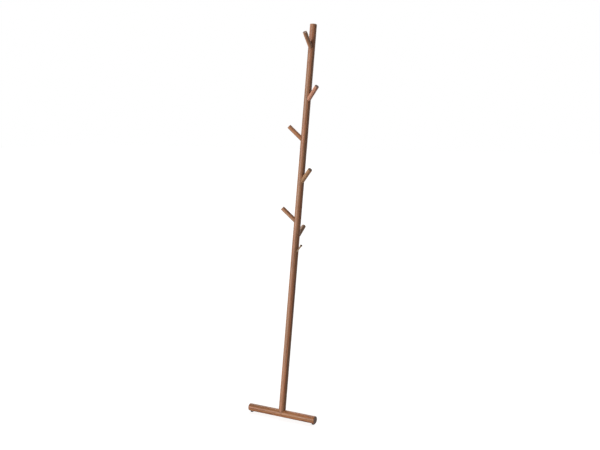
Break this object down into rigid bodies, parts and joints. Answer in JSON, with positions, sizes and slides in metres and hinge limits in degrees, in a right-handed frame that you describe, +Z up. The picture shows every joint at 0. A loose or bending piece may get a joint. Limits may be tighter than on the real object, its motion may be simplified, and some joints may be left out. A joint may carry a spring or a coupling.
{
  "type": "leaning coat rack",
  "caption": "Leaning coat rack: a round wooden pole on a round cross bar, with slanted round pegs and a small steel pin; its top rests on a wall.",
  "frame": {"origin": "on the floor, at the centre of the rack's footprint: midway between the front of the cross bar and the wall, and midway along the cross bar", "axes": "+Z up; +X along the cross bar, to the right as seen from the room; +Y from the room towards the wall"},
  "size_m": [0.345, 0.3288, 1.784],
  "materials": {
    "pole_wood": "oiled walnut, fine straight grain along the pole, satin",
    "bar_wood": "oiled walnut, grain along the bar, end grain on both ends, satin",
    "peg_wood": "oiled walnut, grain along each peg, end grain on the tips, satin",
    "satin_steel": "satin steel",
    "zinc_steel": "zinc plated",
    "insert_brass": "plain brass",
    "rubber": "dark matt rubber"
  },
  "bodies": {
    "root": {"pole": "pole_wood", "cross_bar": "bar_wood", "peg_1_front": "peg_wood", "peg_2_right": "peg_wood", "peg_3_left": "peg_wood", "peg_4_right": "peg_wood", "peg_5_left": "peg_wood", "peg_6_back": "peg_wood", "steel_pin": "satin_steel", "joint_bolt": "zinc_steel", "bolt_washer": "zinc_steel", "threaded_insert": "insert_brass", "foot_left": "rubber", "foot_right": "rubber", "foot_screw_left": "zinc_steel", "foot_screw_right": "zinc_steel", "wall_buffer": "rubber"}
  },
  "joints": []
}
